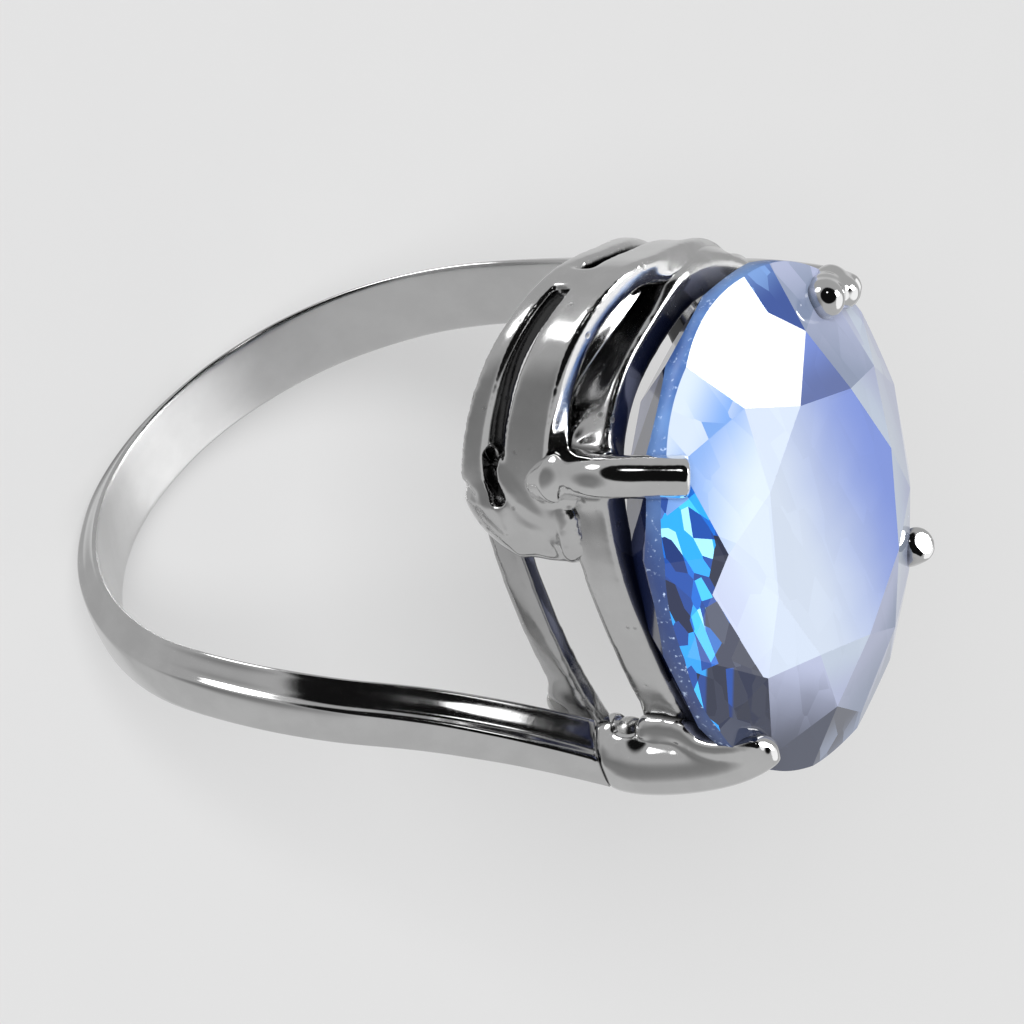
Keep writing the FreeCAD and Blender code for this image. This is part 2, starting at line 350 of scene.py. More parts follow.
def tube_faces(rings, around):
    """Faces of a tube of rings with both ends closed."""
    faces = []
    for i in range(rings - 1):
        for j in range(around):
            k = (j + 1) % around
            faces.append((i * around + j, i * around + k, (i + 1) * around + k, (i + 1) * around + j))
    faces.append(tuple(reversed(range(around))))
    faces.append(tuple((rings - 1) * around + j for j in range(around)))
    return faces


# ---- band ----
def arm_drift(side, z):
    """How far an arm has moved along the finger at a height."""
    rise = max(0.0, (z - DRIFT_START_Z) / (ARM_END_Z - DRIFT_START_Z)) ** DRIFT_POWER
    return RIGHT_DRIFT * rise if side > 0 else -LEFT_DRIFT * rise


def arm_length():
    """Along the band's inside, from its back to the seam of an arm."""
    leave = math.radians(90 + ARM_LEAVES_AT)
    mid_r = FINGER_R + THICK_SEAM / 2
    return FINGER_R * leave + (ARM_END_Z + mid_r * math.cos(leave)) / math.sin(leave)


def band_profile(thick, crown):
    """Cross-section as depth and width: flat inside, hollow cheeks, and a soft flat crown."""
    cheek = BAND_HALF - crown
    side = [
        (0.0, 0.80 * BAND_HALF), (0.03, 0.95 * BAND_HALF), (0.12, BAND_HALF),
        (0.30 * thick, crown + 0.74 * cheek), (0.55 * thick, crown + 0.42 * cheek),
        (0.72 * thick, crown + 0.17 * cheek), (0.90 * thick, crown + 0.06 * cheek),
        (0.985 * thick, 0.88 * crown), (1.02 * thick, 0.45 * crown),
    ]
    left = [(depth, -width) for depth, width in side]
    return left + [(1.03 * thick, 0.0)] + side[::-1] + [(0.0, 0.0)]


def band_ring(travel, length):
    """The closed section of the band at one place along its sweep."""
    leave = math.radians(90 + ARM_LEAVES_AT)
    side = 1 if travel >= 0 else -1
    angle = min(abs(travel) / FINGER_R, leave)
    straight = abs(travel) - FINGER_R * leave
    out_x, out_z = math.sin(angle), -math.cos(angle)
    x, z = FINGER_R * out_x, FINGER_R * out_z
    if straight > 0:
        x -= straight * out_z
        z += straight * out_x
    grow = (travel / length) ** 2
    thick = THICK_BACK + (THICK_SEAM - THICK_BACK) * grow
    crown = (CROWN_BACK + (CROWN_SEAM - CROWN_BACK) * grow) / 2
    middle = arm_drift(side, z + out_z * thick / 2)
    section = closed_curve(band_profile(thick, crown), SECTION_STEPS)
    return [(side * (x + out_x * depth), middle + width, z + out_z * depth) for depth, width in section]


def shank():
    """Band and arms as one sweep, from seam to seam; its inside is satin."""
    length = arm_length()
    points = []
    for i in range(BAND_STATIONS + 1):
        points += band_ring(-length + 2 * length * i / BAND_STATIONS, length)
    section = closed_curve(band_profile(THICK_SEAM, CROWN_SEAM / 2), SECTION_STEPS)
    points = waved(np.array(points), WAVE_HEIGHT, BAND_WAVE_SIZE)
    made = make_object("shank_polished", points, tube_faces(BAND_STATIONS + 1, len(section)))
    inside = [1.0 if depth < 0.05 else 0.0 for depth, width in section]
    mark(made, "satin", inside * (BAND_STATIONS + 1))
    return made


def mark(made, name, values):
    """Stores a number for each point of a piece, for its material to read."""
    made.data.attributes.new(name, "FLOAT", "POINT")
    made.data.attributes[name].data.foreach_set("value", values)


def faces_another(tree, point, normal):
    """Whether metal lies close in front of a point."""
    way = Vector(normal)
    return tree.ray_cast(Vector(point) + way * 0.03 * MM, way, SLOT_REACH * MM)[0] is not None


def mark_inside_shade(made):
    """Marks painted shade on the inside of the gallery, in its slots and in the grooves: faces turned
    inward, slot faces with metal close in front, and carved faces.
    """
    points = point_array(made.data)
    normals = vertex_normals(made.data)
    out = points[:, :2] / np.maximum(np.linalg.norm(points[:, :2], axis=1), 1e-9)[:, None]
    inside_shade = -(normals[:, :2] * out).sum(1)
    inside_shade = np.clip((inside_shade - 0.35) / 0.3, 0, 1)
    faces = [tuple(face.vertices) for face in made.data.polygons]
    tree = BVHTree.FromPolygons([tuple(point) for point in points], faces)
    from_axis = np.hypot(points[:, 0], points[:, 2]) / MM
    for i, (point, normal) in enumerate(zip(points, normals)):
        in_slots = SLOT_INNER < from_axis[i] < SLOT_OUTER and abs(point[1]) > SLOT_FRONT * MM
        if in_slots and inside_shade[i] < 1 and faces_another(tree, point, normal):
            inside_shade[i] = 1
    carved = np.zeros(len(points))
    made.data.attributes["carved"].data.foreach_get("value", carved)
    mark(made, "inside_shade", np.maximum(inside_shade, carved))


def from_path(points, path):
    """Distance of each point from a path of straight runs."""
    best = np.full(len(points), 1e9)
    for start, end in zip(path, path[1:]):
        start = np.array(start)
        run = np.array(end) - start
        along = np.clip(((points - start) @ run) / (run @ run), 0, 1)[:, None]
        best = np.minimum(best, np.linalg.norm(points - start - along * run, axis=1))
    return best


def wire(path, radius):
    """A round wire along a smooth path, cut square at its end."""
    rings = []
    count = len(path) - 1
    for i in range(WIRE_RINGS + 1):
        t = count * i / WIRE_RINGS
        at = min(int(t), count - 1)
        t -= at
        a, b, c, d = (np.array(path[min(max(at + k, 0), count)], float) for k in (-1, 0, 1, 2))
        rings.append(0.5 * (2 * b + (c - a) * t + (2 * a - 5 * b + 4 * c - d) * t ** 2
                            + (3 * b - a - 3 * c + d) * t ** 3))
    points = []
    for i, centre in enumerate(rings):
        ahead = Vector(rings[min(i + 1, WIRE_RINGS)] - rings[max(i - 1, 0)]).normalized()
        side = ahead.cross(Vector((0, 1, 0))).normalized()
        front = ahead.cross(side)
        for j in range(AROUND):
            turn = 2 * math.pi * j / AROUND
            spoke = side * math.cos(turn) + front * math.sin(turn)
            points.append(tuple(Vector(centre) + radius * spoke))
    return points, tube_faces(WIRE_RINGS + 1, AROUND)


def ball(centre, radius):
    """A ball of metal, to be melted into a casting."""
    points = []
    for i in range(AROUND + 1):
        low = math.pi * (i + 0.5) / (AROUND + 1)
        for j in range(AROUND):
            turn = 2 * math.pi * j / AROUND
            way = Vector((math.sin(low) * math.cos(turn), math.sin(low) * math.sin(turn), math.cos(low)))
            points.append(tuple(Vector(centre) + way * radius))
    return points, tube_faces(AROUND + 1, AROUND)


# ---- stone ----
def stone_point(step, spread, z, length=STONE_LENGTH, width=STONE_WIDTH):
    """A point of the cut; step counts sixteenths of a turn."""
    a = 2 * math.pi * step / 16
    point = Vector((spread * width / 2 * math.cos(a), spread * length / 2 * math.sin(a), z))
    return Matrix.Rotation(math.radians(STONE_TURN), 3, "Z") @ point


def plane_of(a, b, c):
    """The plane through three points, facing out of the stone."""
    normal = (b - a).cross(c - a).normalized()
    if normal.dot(a - Vector((0, 0, STONE_MIDDLE_Z))) < 0:
        normal = -normal
    return a, normal


def stone_planes():
    """The facet planes by kind and place round the stone."""
    star_z = GIRDLE_HIGH + STAR_RISE * (TABLE_Z - GIRDLE_HIGH)
    knee_z = CULET_Z + KNEE_RISE * (GIRDLE_LOW - CULET_Z)
    culet = Vector((0, 0, CULET_Z))
    planes = {("table", 0): (Vector((0, 0, TABLE_Z)), Vector((0, 0, 1)))}
    for i in range(8):
        corner = stone_point(2 * i, 1, TABLE_Z, TABLE_LENGTH, TABLE_WIDTH)
        after = stone_point(2 * i + 2, 1, TABLE_Z, TABLE_LENGTH, TABLE_WIDTH)
        star = stone_point(2 * i + 1, STAR_SPREAD, star_z)
        star_before = stone_point(2 * i - 1, STAR_SPREAD, star_z)
        tip = stone_point(2 * i + TIP_MOVED.get(i, 0), 1, GIRDLE_HIGH)
        middle = stone_point(2 * i + 1, 1, GIRDLE_HIGH - 0.02)
        end = stone_point(2 * i + 2 + TIP_MOVED.get(i + 1, 0), 1, GIRDLE_HIGH)
        planes["kite", i] = plane_of(corner, star, star_before)
        planes["star", i] = plane_of(corner, after, star)
        low_tip = tip - Vector((0, 0, TIP_LOWERED.get(i, 0)))
        planes["half_a", i] = plane_of(low_tip, star, middle)
        planes["half_b", i] = plane_of(end, middle, star)
        knee = stone_point(2 * i + 1, KNEE_SPREAD, knee_z)
        low = stone_point(2 * i, 1, GIRDLE_LOW)
        low_middle = stone_point(2 * i + 1, 1, GIRDLE_LOW)
        low_end = stone_point(2 * i + 2, 1, GIRDLE_LOW)
        knee_before = stone_point(2 * i - 1, KNEE_SPREAD, knee_z)
        planes["low_a", i] = plane_of(low, knee, low_middle)
        planes["low_b", i] = plane_of(low_end, low_middle, knee)
        planes["low_kite", i] = plane_of(culet, knee, knee_before)
    return planes


def cut_back(mesh, point, normal):
    """Takes off what lies outside one facet's plane and closes the cut."""
    everything = mesh.verts[:] + mesh.edges[:] + mesh.faces[:]
    cut = bmesh.ops.bisect_plane(mesh, geom=everything, plane_co=point, plane_no=normal,
                                 clear_outer=True, dist=1e-5)
    edges = [e for e in cut["geom_cut"] if isinstance(e, bmesh.types.BMEdge)]
    edges = [e for e in edges if e.is_boundary]
    if edges:
        bmesh.ops.edgeloop_fill(mesh, edges=edges)


def facet_of(face, planes):
    """The kind and place of the facet that a face belongs to."""
    middle = face.calc_center_median()

    def score(key):
        point, normal = planes[key]
        return face.normal.dot(normal) - abs((middle - point).dot(normal))

    return max(planes, key=score)


def stone():
    """The cut stone, an oval prism cut back by every facet plane, and the facet of each face."""
    mesh = bmesh.new()
    steps = 192
    rings = []
    for z in (CULET_Z, TABLE_Z + 0.5):
        rings.append([mesh.verts.new(stone_point(16 * i / steps, 1, z)) for i in range(steps)])
    for i in range(steps):
        k = (i + 1) % steps
        mesh.faces.new((rings[0][i], rings[0][k], rings[1][k], rings[1][i]))
    mesh.faces.new(rings[0][::-1])
    mesh.faces.new(rings[1])
    planes = stone_planes()
    for point, normal in planes.values():
        cut_back(mesh, point, normal)
    bmesh.ops.remove_doubles(mesh, verts=mesh.verts[:], dist=1e-4)
    bmesh.ops.recalc_face_normals(mesh, faces=mesh.faces[:])
    kinds = []
    for face in mesh.faces:
        upright = abs(face.normal.z) < 0.02
        kinds.append(("girdle", 0) if upright else facet_of(face, planes))
        face.smooth = upright
    for v in mesh.verts:
        v.co *= MM
    data = bpy.data.meshes.new("centre_stone_cut")
    mesh.to_mesh(data)
    mesh.free()
    made = bpy.data.objects.new("centre_stone_cut", data)
    bpy.context.scene.collection.objects.link(made)
    return made, kinds


# painted reflections and flashes, and the stone's blue, as seen through the crown
WHITE = (0.50, 0.51, 0.53)
PALE = (0.50, 0.575, 0.70)
LILAC = (0.40, 0.44, 0.62)
MIST = (0.24, 0.29, 0.42)
SKY = (0.16, 0.30, 0.62)
PERI = (0.09, 0.17, 0.55)
DEEP = (0.02, 0.06, 0.26)
NAVY = (0.010, 0.016, 0.05)
SLATE = (0.05, 0.06, 0.10)
STONE_IOR = 1.77
# splinter-shaped cells per metre, and how much the small ones count
BIG_SHARDS = 1300.0
SMALL_SHARDS = 2300.0
SMALL_WEIGHT = 0.58

# painted reflections and stone blue under each crown facet, by place round the stone: colour near the
# middle, colour at the rim, and how far it is broken up into painted bright flashes
CROWN_LOOK = {
    "table": [(PALE, PERI, 0.0)],
    "star": [
        (PALE, PALE, 0.0), (PALE, LILAC, 0.15), (LILAC, MIST, 0.0), (PALE, LILAC, 0.0),
        (PALE, LILAC, 0.0), (DEEP, PERI, 0.0), (PALE, PALE, 0.0), (PALE, PALE, 0.0),
    ],
    "kite": [
        (PALE, LILAC, 0.0), (LILAC, SLATE, 0.0), (LILAC, MIST, 0.0), (PALE, LILAC, 0.0),
        (PALE, LILAC, 0.0), (MIST, LILAC, 0.0), (WHITE, PALE, 0.0), (PALE, SKY, 0.0),
    ],
    "half_a": [
        (DEEP, NAVY, 1.0), (SLATE, SLATE, 0.0), (LILAC, MIST, 0.0), (LILAC, PALE, 0.0),
        (PALE, LILAC, 0.0), (MIST, LILAC, 0.0), (SKY, PALE, 0.0), (SKY, DEEP, 0.7),
    ],
    "half_b": [
        (NAVY, SLATE, 0.25), (SLATE, MIST, 0.0), (LILAC, MIST, 0.0), (LILAC, PALE, 0.0),
        (PALE, LILAC, 0.0), (DEEP, SKY, 0.0), (SKY, PALE, 0.0), (DEEP, NAVY, 1.0),
    ],
}

# how far each kind of facet is split into paler and darker splinters of painted reflection
SPLINTER = {"half_a": 1.1, "half_b": 1.1, "kite": 0.12, "star": 0.12}

# the painted pale reflection on the table gives way to blue this way
TABLE_ACROSS = 0.85
TABLE_UP = 0.35

# on the first kite the pale reflection ends at a straight edge, with flashes beyond it
EDGE_ACROSS = 0.844
EDGE_UP = 0.539
EDGE_AT = 5.53
FLASHES_END = 8.6


# ---- nodes ----
class Nodes:
    """Short way to build a node tree."""

    def __init__(self, tree):
        self.tree = tree
        tree.nodes.clear()

    def add(self, kind, inputs=None, **settings):
        node = self.tree.nodes.new(kind)
        for key, value in settings.items():
            setattr(node, key, value)
        for key, value in (inputs or {}).items():
            if isinstance(value, bpy.types.NodeSocket):
                self.tree.links.new(value, node.inputs[key])
            else:
                node.inputs[key].default_value = value
        return node

    def math(self, operation, *values):
        return self.add("ShaderNodeMath", dict(enumerate(values)), operation=operation).outputs[0]

    def ramp(self, value, low, high, out_low=0.0, out_high=1.0, soft=True):
        kind = "SMOOTHSTEP" if soft else "LINEAR"
        node = self.add("ShaderNodeMapRange", {0: value, 1: low, 2: high, 3: out_low, 4: out_high},
                        interpolation_type=kind)
        return node.outputs[0]

    def mix(self, factor, a, b):
        node = self.add("ShaderNodeMix", data_type="RGBA")
        for key, value in ((0, factor), (6, a), (7, b)):
            if isinstance(value, bpy.types.NodeSocket):
                self.tree.links.new(value, node.inputs[key])
            elif key:
                node.inputs[key].default_value = (*value, 1.0)
            else:
                node.inputs[key].default_value = value
        return node.outputs[2]


def new_material(name):
    material = bpy.data.materials.new(name)
    material.use_nodes = True
    return material, Nodes(material.node_tree)


# painted shade: how dark a closed recess is painted, and the colour of that shade
PAINTED_SHADE_DEPTH = 0.85
PAINTED_SHADE_COLOUR = (0.012, 0.012, 0.013)


def metal(name, tone, rough, wear, pits=0.0, brushed=0.0):
    """White metal: polished, faintly scratched, with optional casting pits; painted shade darkens its
    recesses, its pits and faces marked as shaded inside.
    """
    material, n = new_material(name)
    place = n.add("ShaderNodeTexCoord").outputs["Object"]
    cloud = n.add("ShaderNodeTexNoise", {"Vector": place, "Scale": 900.0, "Detail": 4.0}).outputs[0]
    fine = n.add("ShaderNodeTexNoise", {"Vector": place, "Scale": 9000.0, "Detail": 3.0}).outputs[0]
    stretched = n.add("ShaderNodeMapping", {"Vector": place, "Rotation": (0.5, 0.3, 0.8),
                                            "Scale": (600.0, 9000.0, 9000.0)}).outputs[0]
    scratch = n.add("ShaderNodeTexNoise", {"Vector": stretched, "Scale": 1.0, "Detail": 3.0}).outputs[0]
    colour = n.mix(n.ramp(cloud, 0.35, 0.7), [c * 0.93 for c in tone], tone)
    roughness = n.math("ADD", n.ramp(cloud, 0.3, 0.75, rough, rough + wear),
                       n.ramp(scratch, 0.55, 0.8, 0.0, wear * 0.8))
    height = n.math("ADD", n.math("MULTIPLY", scratch, 0.15 + brushed),
                    n.math("MULTIPLY", fine, 0.12 + brushed))
    if pits:
        cell = n.add("ShaderNodeTexVoronoi", {"Vector": place, "Scale": 2600.0}).outputs[0]
        hole = n.ramp(cell, 0.05, 0.28, 1.0, 0.0)
        patchy = n.ramp(cloud, 0.55, 0.62)
        pit = n.math("MULTIPLY", hole, patchy)
        height = n.math("SUBTRACT", height, n.math("MULTIPLY", pit, pits * 6.0))
        # painted shade in the pits: their colour is darkened
        colour = n.mix(n.math("MULTIPLY", pit, 0.6), colour, (0.18, 0.18, 0.18))
        roughness = n.math("ADD", roughness, n.math("MULTIPLY", pit, 0.3))
    roughness = n.math("ADD", roughness, n.math("MULTIPLY", attribute(n, "satin"), 0.26))
    # painted shade: where ambient occlusion finds a recess, and on faces marked as shaded inside, the
    # colour is painted near black
    unshaded = n.add("ShaderNodeAmbientOcclusion", {"Distance": 0.0009}, samples=6).outputs["AO"]
    painted_shade = n.ramp(unshaded, 0.25, 0.70, PAINTED_SHADE_DEPTH, 0.0)
    painted_shade = n.math("MAXIMUM", painted_shade, n.math("MULTIPLY", attribute(n, "inside_shade"), 0.9))
    colour = n.mix(painted_shade, colour, PAINTED_SHADE_COLOUR)
    bump = n.add("ShaderNodeBump", {"Strength": 0.25, "Distance": 0.00001, "Height": height}).outputs[0]
    shader = n.add("ShaderNodeBsdfPrincipled", {"Base Color": colour, "Metallic": 1.0,
                                                "Roughness": roughness, "Normal": bump})
    n.add("ShaderNodeOutputMaterial", {"Surface": shader.outputs[0]})
    return material


def stepped(n, value, stops):
    """Flat bands of colour."""
    ramp = n.add("ShaderNodeValToRGB", {"Fac": value})
    ramp.color_ramp.interpolation = "CONSTANT"
    elements = ramp.color_ramp.elements
    while len(elements) < len(stops):
        elements.new(0.5)
    for element, (position, colour) in zip(elements, stops):
        element.position = position
        element.color = (*colour, 1.0)
    return ramp.outputs[0]


FLASH_STOPS = ((0.0, NAVY), (0.20, (0.012, 0.05, 0.24)), (0.34, (0.008, 0.12, 0.52)),
               (0.46, (0.02, 0.30, 0.80)), (0.55, (0.010, 0.06, 0.30)), (0.64, (0.05, 0.46, 0.92)),
               (0.72, (0.010, 0.03, 0.14)), (0.82, (0.30, 0.70, 0.95)))
DARK_STOPS = ((0.0, (0.016, 0.021, 0.045)), (0.35, (0.026, 0.032, 0.06)), (0.60, (0.012, 0.018, 0.05)),
              (0.80, (0.04, 0.05, 0.09)), (0.90, (0.01, 0.12, 0.45)))


def shards(n, place, scale, turn):
    """Three random numbers per splinter-shaped cell."""
    stretched = n.add("ShaderNodeMapping", {"Vector": place, "Rotation": (0.0, 0.0, turn),
                                            "Scale": (scale, scale * 0.38, scale * 0.75)}).outputs[0]
    cell = n.add("ShaderNodeTexVoronoi", {"Vector": stretched, "Scale": 1.0})
    return n.add("ShaderNodeSeparateColor", {"Color": cell.outputs["Color"]})


def dotted(n, place, direction):
    node = n.add("ShaderNodeVectorMath", {0: place, 1: direction}, operation="DOT_PRODUCT")
    return node.outputs["Value"]


def attribute(n, name):
    return n.add("ShaderNodeAttribute", attribute_name=name).outputs["Fac"]


def face_colour(n, name):
    return n.add("ShaderNodeAttribute", attribute_name=name).outputs["Color"]


def crown_glow(n, place, big):
    """The smooth colour of a facet, a painted reflection, from its middle to its rim, split a little by
    splinters.
    """
    soft = n.add("ShaderNodeTexNoise", {"Vector": place, "Scale": 320.0, "Detail": 2.0}).outputs[0]
    blend = n.math("ADD", attribute(n, "blend"), n.ramp(soft, 0.3, 0.7, -0.05, 0.05, soft=False))
    jitter = n.math("SUBTRACT", big.outputs[2], 0.5)
    jitter = n.math("MULTIPLY", jitter, attribute(n, "splinter"))
    blend = n.ramp(n.math("ADD", blend, jitter), 0.15, 0.95)
    return n.mix(blend, face_colour(n, "near"), face_colour(n, "far"))


def crown_flashes(n, place, big):
    """The broken painted flashes: vivid up to a line across the stone, and dark beyond it."""
    small = shards(n, place, SMALL_SHARDS, -0.4)
    pick = n.math("ADD", n.math("MULTIPLY", big.outputs[0], 1 - SMALL_WEIGHT),
                  n.math("MULTIPLY", small.outputs[1], SMALL_WEIGHT))
    across = n.math("ADD", dotted(n, place, RIGHT), n.math("MULTIPLY", big.outputs[2], 0.9 * MM))
    vivid = n.ramp(across, (FLASHES_END + 0.5) * MM, (FLASHES_END + 0.4) * MM)
    return n.mix(vivid, stepped(n, pick, DARK_STOPS), stepped(n, pick, FLASH_STOPS))


def crown_material():
    """Crown of the stone: painted reflections and flashes, glowing a little, under a hard clear surface.
    """
    material, n = new_material("stone_crown")
    place = n.add("ShaderNodeTexCoord").outputs["Object"]
    big = shards(n, place, BIG_SHARDS, 0.5)
    edge = dotted(n, place, RIGHT * EDGE_ACROSS + UP * EDGE_UP)
    beyond = n.ramp(edge, EDGE_AT * MM, (EDGE_AT - 0.02) * MM)
    broken = n.math("MAXIMUM", attribute(n, "broken"), n.math("MULTIPLY", attribute(n, "edged"), beyond))
    shows = n.ramp(n.math("SUBTRACT", broken, n.math("MULTIPLY", big.outputs[1], 0.95)), 0.0, 0.02)
    inside = n.mix(shows, crown_glow(n, place, big), crown_flashes(n, place, big))
    tone = n.ramp(big.outputs[0], 0.0, 1.0, 0.97, 1.03, soft=False)
    inside = n.add("ShaderNodeVectorMath", {0: inside, "Scale": tone}, operation="SCALE").outputs[0]
    # the crown's painted colours also glow a little: painted light
    surface = n.add("ShaderNodeBsdfPrincipled", {
        "Base Color": inside, "Roughness": 0.015, "IOR": STONE_IOR, "Emission Color": inside,
        "Emission Strength": 0.2})
    n.add("ShaderNodeOutputMaterial", {"Surface": surface.outputs[0]})
    return material


def girdle_material():
    """The frosted rim: blue with pale grains, with painted shade towards the side that is down in the
    camera's view.
    """
    material, n = new_material("stone_girdle")
    place = n.add("ShaderNodeTexCoord").outputs["Object"]
    grain = n.add("ShaderNodeTexNoise", {"Vector": place, "Scale": 7000.0, "Detail": 3.0}).outputs[0]
    cloud = n.add("ShaderNodeTexNoise", {"Vector": place, "Scale": 500.0, "Detail": 3.0}).outputs[0]
    colour = n.mix(n.ramp(cloud, 0.35, 0.65), (0.04, 0.10, 0.30), (0.11, 0.23, 0.50))
    # painted shade: darker towards the camera's down side
    low = n.ramp(dotted(n, place, UP), 3.0 * MM, -4.0 * MM, 0.0, 0.8)
    colour = n.mix(low, colour, (0.012, 0.022, 0.10))
    colour = n.mix(n.ramp(grain, 0.60, 0.74, 0.0, 0.8), colour, (0.5, 0.62, 0.85))
    bump = n.add("ShaderNodeBump", {"Strength": 0.5, "Distance": 0.00002, "Height": grain}).outputs[0]
    shader = n.add("ShaderNodeBsdfPrincipled", {"Base Color": colour, "Roughness": 0.42, "IOR": STONE_IOR,
                                                "Normal": bump})
    n.add("ShaderNodeOutputMaterial", {"Surface": shader.outputs[0]})
    return material


def pavilion_material():
    """Underside of the stone: dark navy facets and pale lilac painted reflections, glowing a little, under
    the same clear surface.
    """
    material, n = new_material("stone_pavilion")
    place = n.add("ShaderNodeTexCoord").outputs["Object"]
    cells = n.add("ShaderNodeTexVoronoi", {"Vector": place, "Scale": 420.0})
    pick = n.add("ShaderNodeSeparateColor", {"Color": cells.outputs["Color"]}).outputs[0]
    colour = n.mix(n.ramp(pick, 0.45, 0.6), (0.012, 0.018, 0.06), (0.20, 0.22, 0.34))
    shader = n.add("ShaderNodeBsdfPrincipled", {"Base Color": colour, "Roughness": 0.03, "IOR": STONE_IOR,
                                                "Emission Color": colour, "Emission Strength": 0.1})
    n.add("ShaderNodeOutputMaterial", {"Surface": shader.outputs[0]})
    return material


def face_blends(mesh, kinds):
    """How far each face corner lies from the facet's near side, 0 to 1."""
    blends = [0.0] * len(mesh.loops)
    across = RIGHT * TABLE_ACROSS + UP * TABLE_UP
    for (kind, place), face in zip(kinds, mesh.polygons):
        ends = [mesh.vertices[i].co for i in face.vertices]
        reach = [p.dot(across) if kind == "table" else p.xy.length for p in ends]
        low, high = min(reach), max(reach)
        for i, value in zip(face.loop_indices, reach):
            blends[i] = (value - low) / max(high - low, 1e-9)
    return blends


def face_values(mesh, name, kind, values, domain="FACE"):
    """Stores a number or colour for each face or corner, for the materials to read."""
    mesh.attributes.new(name, kind, domain)
    mesh.attributes[name].data.foreach_set("color" if kind == "FLOAT_COLOR" else "value", values)


def dress_stone(made, kinds):
    """Gives each face of the stone its material and its own colours."""
    for material in (crown_material(), girdle_material(), pavilion_material()):
        made.data.materials.append(material)
    looks = [CROWN_LOOK[kind][place] if kind in CROWN_LOOK else (PERI, PERI, 0.0) for kind, place in kinds]
    slots = [0 if kind in CROWN_LOOK else 1 if kind == "girdle" else 2 for kind, place in kinds]
    mesh = made.data
    face_values(mesh, "near", "FLOAT_COLOR", [c for look in looks for c in (*look[0], 1.0)])
    face_values(mesh, "far", "FLOAT_COLOR", [c for look in looks for c in (*look[1], 1.0)])
    face_values(mesh, "broken", "FLOAT", [look[2] for look in looks])
    face_values(mesh, "edged", "FLOAT", [float(kind == ("kite", 0)) for kind in kinds])
    face_values(mesh, "splinter", "FLOAT", [SPLINTER.get(kind, 0.0) for kind, place in kinds])
    face_values(mesh, "blend", "FLOAT", face_blends(mesh, kinds), domain="CORNER")
    mesh.polygons.foreach_set("material_index", slots)


# ---- studio ----
def camera_axes():
    """The picture's right and up, and the way back to the camera, in the part's frame."""
    a = math.radians(CAM_AZIMUTH)
    e = math.radians(CAM_ELEVATION)
    back = Vector((math.sin(a) * math.cos(e), -math.cos(a) * math.cos(e), math.sin(e)))
    level = Vector((math.cos(a), math.sin(a), 0))
    turn = Matrix.Rotation(math.radians(CAM_ROLL), 3, back)
    right = turn @ level
    return right, back.cross(right), back


RIGHT, UP, BACK = camera_axes()
# the tent's brightness for matt faces, and for the camera
TENT_LIGHT = 0.31
TENT_WALL = 0.77
# the room's darker parts, then its lamps, as polished faces see them: direction by studio(),
# radius and soft edge in degrees, and depth or strength
SHADES = (
    ((-0.80, -0.35, 0.45), 30, 16, 0.55),
    ((0.32, 0.32, 0.88), 47, 4, 0.985),
)
LAMPS = (
    ((0.95, -0.16, -0.10), 30, 5, 1.15),
    ((0.92, 0.38, 0.14), 13, 1.5, 12.0),
    ((-0.57, 0.73, 0.33), 12, 3, 4.5),
    ((0.15, 0.60, 0.79), 4, 1.5, 2.6),
)
# metres and watts
KEY_SIZE = 1.38
KEY_POWER = 119.0
KEY_DISTANCE = 3.0
FLOOR_HALF = 3.0
FLOOR_GLOW = 0.985


def studio(right, up, back):
    """A direction of the room given along the picture's right, up and towards the camera."""
    return (RIGHT * right + UP * up + BACK * back).normalized()


def camera():
    data = bpy.data.cameras.new("camera")
    data.lens = CAM_LENS
    data.sensor_width = SENSOR
    data.clip_start = 0.005
    data.clip_end = 20.0
    made = bpy.data.objects.new("camera", data)
    bpy.context.scene.collection.objects.link(made)
    place = Vector(CAM_AIM) + BACK * CAM_DISTANCE
    made.matrix_world = Matrix.Translation(place * MM) @ Matrix((RIGHT, UP, BACK)).transposed().to_4x4()
    bpy.context.scene.camera = made


def room_shine(n, way):
    """What polished faces see: a pale tent, its darker parts and its lamps."""

    def along(direction):
        return dotted(n, way, direction)

    def patch(direction, radius, edge):
        low = math.cos(math.radians(radius + edge))
        high = math.cos(math.radians(max(0.0, radius - edge)))
        return n.ramp(along(studio(*direction)), low, high)

    light = n.ramp(along(studio(0, 1, 0)), 0.1, -0.6, 0.44, 0.52)
    light = n.math("MAXIMUM", light, n.ramp(along(studio(0, 0, 1)), -0.4, -0.9, 0.0, 0.62))
    for direction, radius, edge, depth in SHADES:
        shade = n.math("MULTIPLY", patch(direction, radius, edge), depth)
        light = n.math("MULTIPLY", light, n.math("SUBTRACT", 1.0, shade))
    for direction, radius, edge, strength in LAMPS:
        lamp = n.math("MULTIPLY", patch(direction, radius, edge), strength)
        light = n.math("MAXIMUM", light, lamp)
    return light


